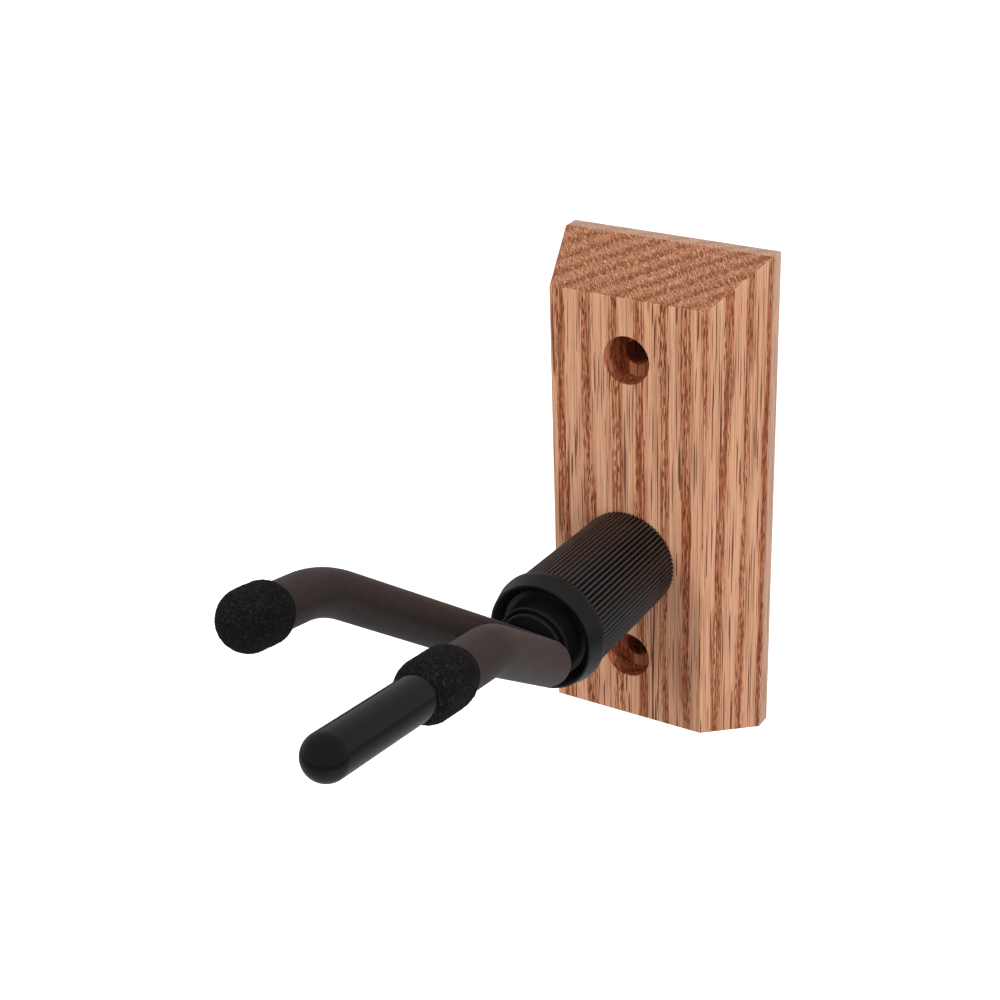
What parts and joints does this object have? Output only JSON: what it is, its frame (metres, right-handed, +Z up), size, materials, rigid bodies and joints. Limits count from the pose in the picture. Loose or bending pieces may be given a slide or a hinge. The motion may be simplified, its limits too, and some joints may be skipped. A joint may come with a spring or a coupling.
{
  "type": "wall instrument hanger",
  "caption": "Wall hanger for an instrument: bevelled oak block, ribbed round holder, and a rubber-covered steel fork that swivels, with one foam-capped arm and one that ends in a glossy peg",
  "frame": {"origin": "the centre of the oak block's back face, on the wall", "axes": "+Z up; +Y into the wall, so the hanger stands out towards -Y; +X to the right as seen from in front"},
  "size_m": [0.0601, 0.1948, 0.1334],
  "materials": {
    "oak": "satin",
    "black_nylon": "satin",
    "black_steel": "satin",
    "zinc_steel": "satin",
    "black_rubber": "satin",
    "black_foam": "matte",
    "black_vinyl": "gloss",
    "white_nylon": "matte"
  },
  "bodies": {
    "wall_holder": {"mounting_block": "oak", "holder_body": "black_nylon", "holder_collar": "black_nylon", "front_bush": "black_nylon", "rear_bush": "black_nylon", "holder_screws": "zinc_steel"},
    "fork": {"swivel_stem": "black_steel", "fork_rod": "black_steel", "left_sleeve": "black_rubber", "right_sleeve": "black_rubber", "ball_pad": "black_foam", "ring_pad": "black_foam", "peg_cap": "black_vinyl", "thrust_washer": "white_nylon", "rear_washer": "zinc_steel", "spring_washer": "zinc_steel", "lock_nut": "zinc_steel", "nut_insert": "white_nylon"}
  },
  "joints": [
    {"name": "fork_swivel", "type": "hinge", "parent": "wall_holder", "child": "fork", "pos_m": [0, -0.05, -0.0121], "axis": [0, 1, 0], "continuous": true}
  ]
}
